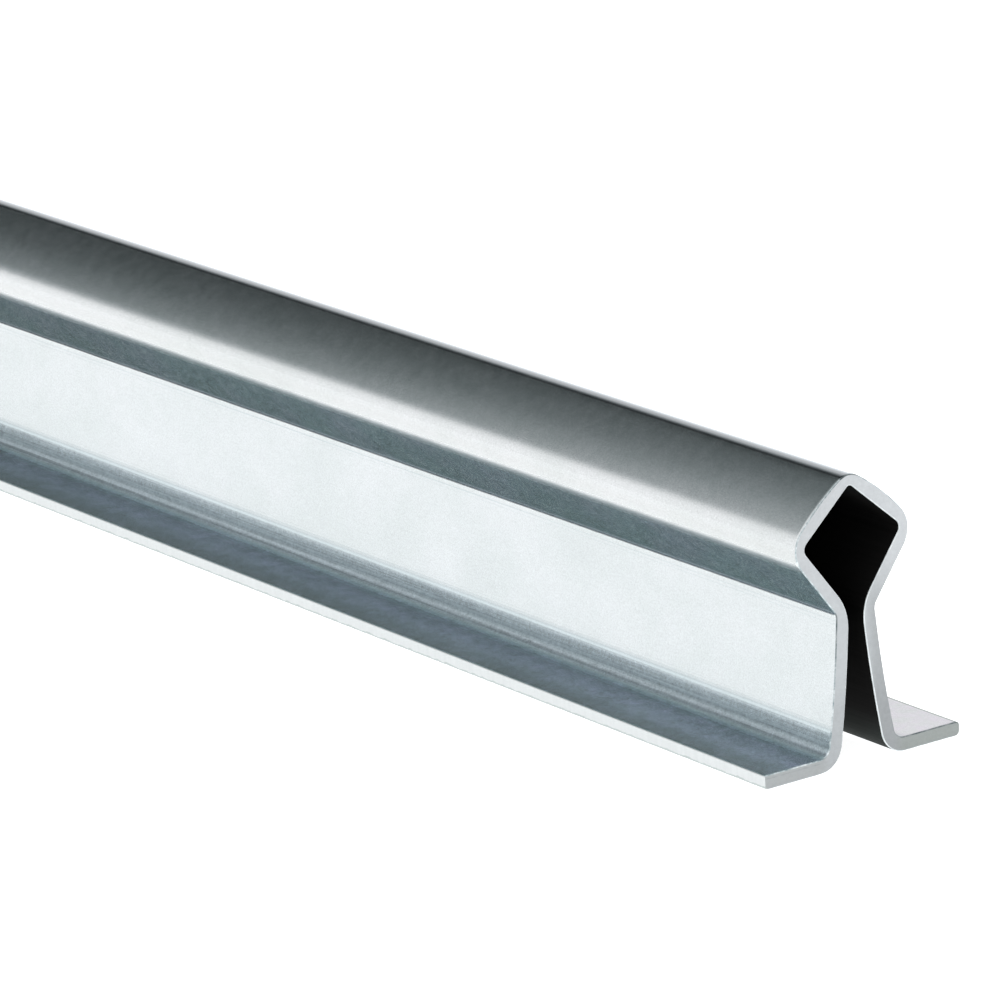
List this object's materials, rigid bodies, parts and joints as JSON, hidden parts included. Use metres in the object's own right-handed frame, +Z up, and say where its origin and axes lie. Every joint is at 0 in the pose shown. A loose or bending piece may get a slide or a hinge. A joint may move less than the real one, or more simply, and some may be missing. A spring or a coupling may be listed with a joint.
{
  "type": "v-groove gate track",
  "caption": "Roll-formed galvanised steel ground rail for a sliding gate: a ridged running head for V-groove wheels on a pinched neck, splayed legs and flat outward foot flanges.",
  "frame": {"origin": "mid length, on the centre plane, level with the underside of the foot flanges", "axes": "+X along the rail, +Z up from the feet to the running ridge, +Y across the rail"},
  "size_m": [3, 0.0404, 0.0497],
  "materials": {
    "galvanised_steel": "bright galvanised sheet, satin, with fine roll-forming streaks"
  },
  "bodies": {
    "root": {"gate_track": "galvanised_steel"}
  },
  "joints": []
}
